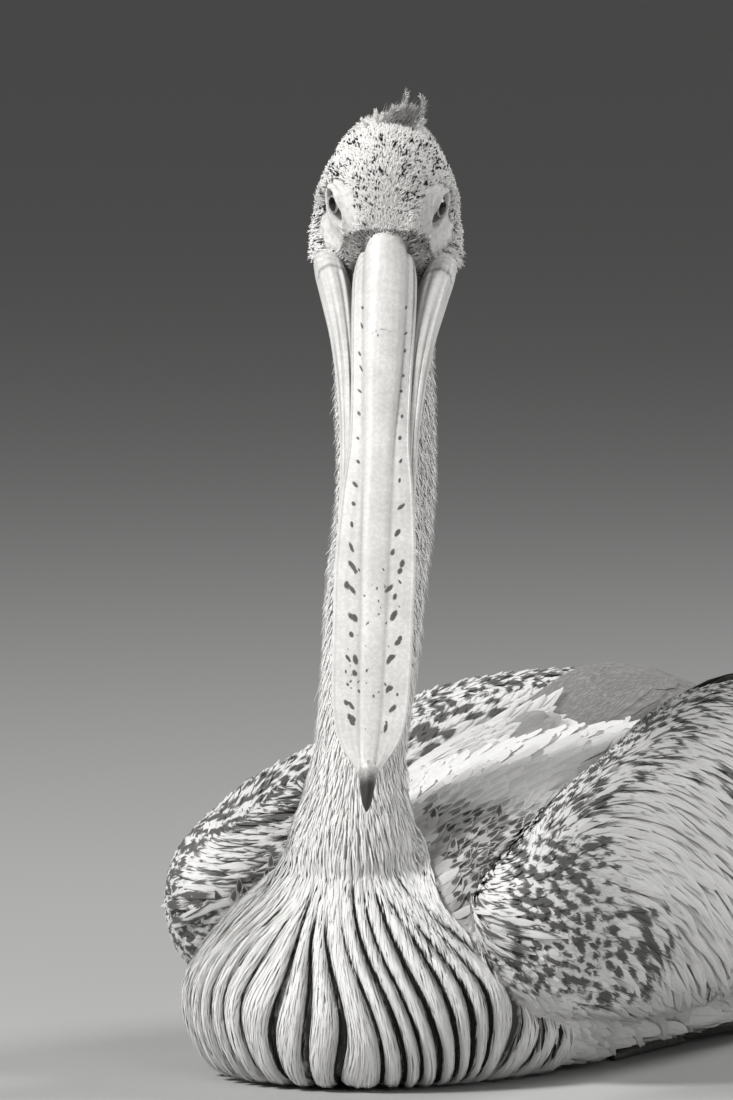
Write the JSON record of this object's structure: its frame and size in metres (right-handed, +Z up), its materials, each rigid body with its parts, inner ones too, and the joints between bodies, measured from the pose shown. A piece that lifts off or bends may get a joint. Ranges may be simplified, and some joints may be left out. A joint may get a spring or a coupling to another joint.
{
  "type": "spot-billed pelican",
  "caption": "Life-size still figure of a spot-billed pelican resting on its belly with wings folded, neck raised and head turned with the long bill hanging down before the breast",
  "frame": {"origin": "on the floor under the base of the neck, in the trunk's midplane; the middle of the belly_rest mount", "axes": "+Z is up, the trunk runs along Y with the breast at -Y and the tail at +Y, and +X is the bird's left"},
  "size_m": [0.2806, 0.7501, 0.4961],
  "materials": {
    "plumage": "long soft white feathers over the skin, with grey streaks",
    "crest": "curled grey plumes with pale tips",
    "eye": "wet and glossy, black pupil in a pale ring",
    "bill": "pale satin horn with rows of dark spots",
    "nail": "satin dark horn hook",
    "pouch": "bare wrinkled skin",
    "wing": "layered feathers with dark centres and pale edges",
    "quill": "stiff dark flight and tail feathers",
    "foot": "dark scaly webbed skin"
  },
  "bodies": {
    "root": {"trunk": "plumage", "neck_lower": "plumage", "neck_upper": "plumage", "head": "plumage", "crest": "crest", "eye_left": "eye", "eye_right": "eye", "bill_upper": "bill", "bill_nail": "nail", "mandible_left": "bill", "mandible_right": "bill", "pouch": "pouch", "wing_left": "wing", "wing_right": "wing", "wing_tip_left": "quill", "wing_tip_right": "quill", "tail": "quill", "leg_left": "foot", "leg_right": "foot", "foot_left": "foot", "foot_right": "foot"}
  },
  "joints": []
}
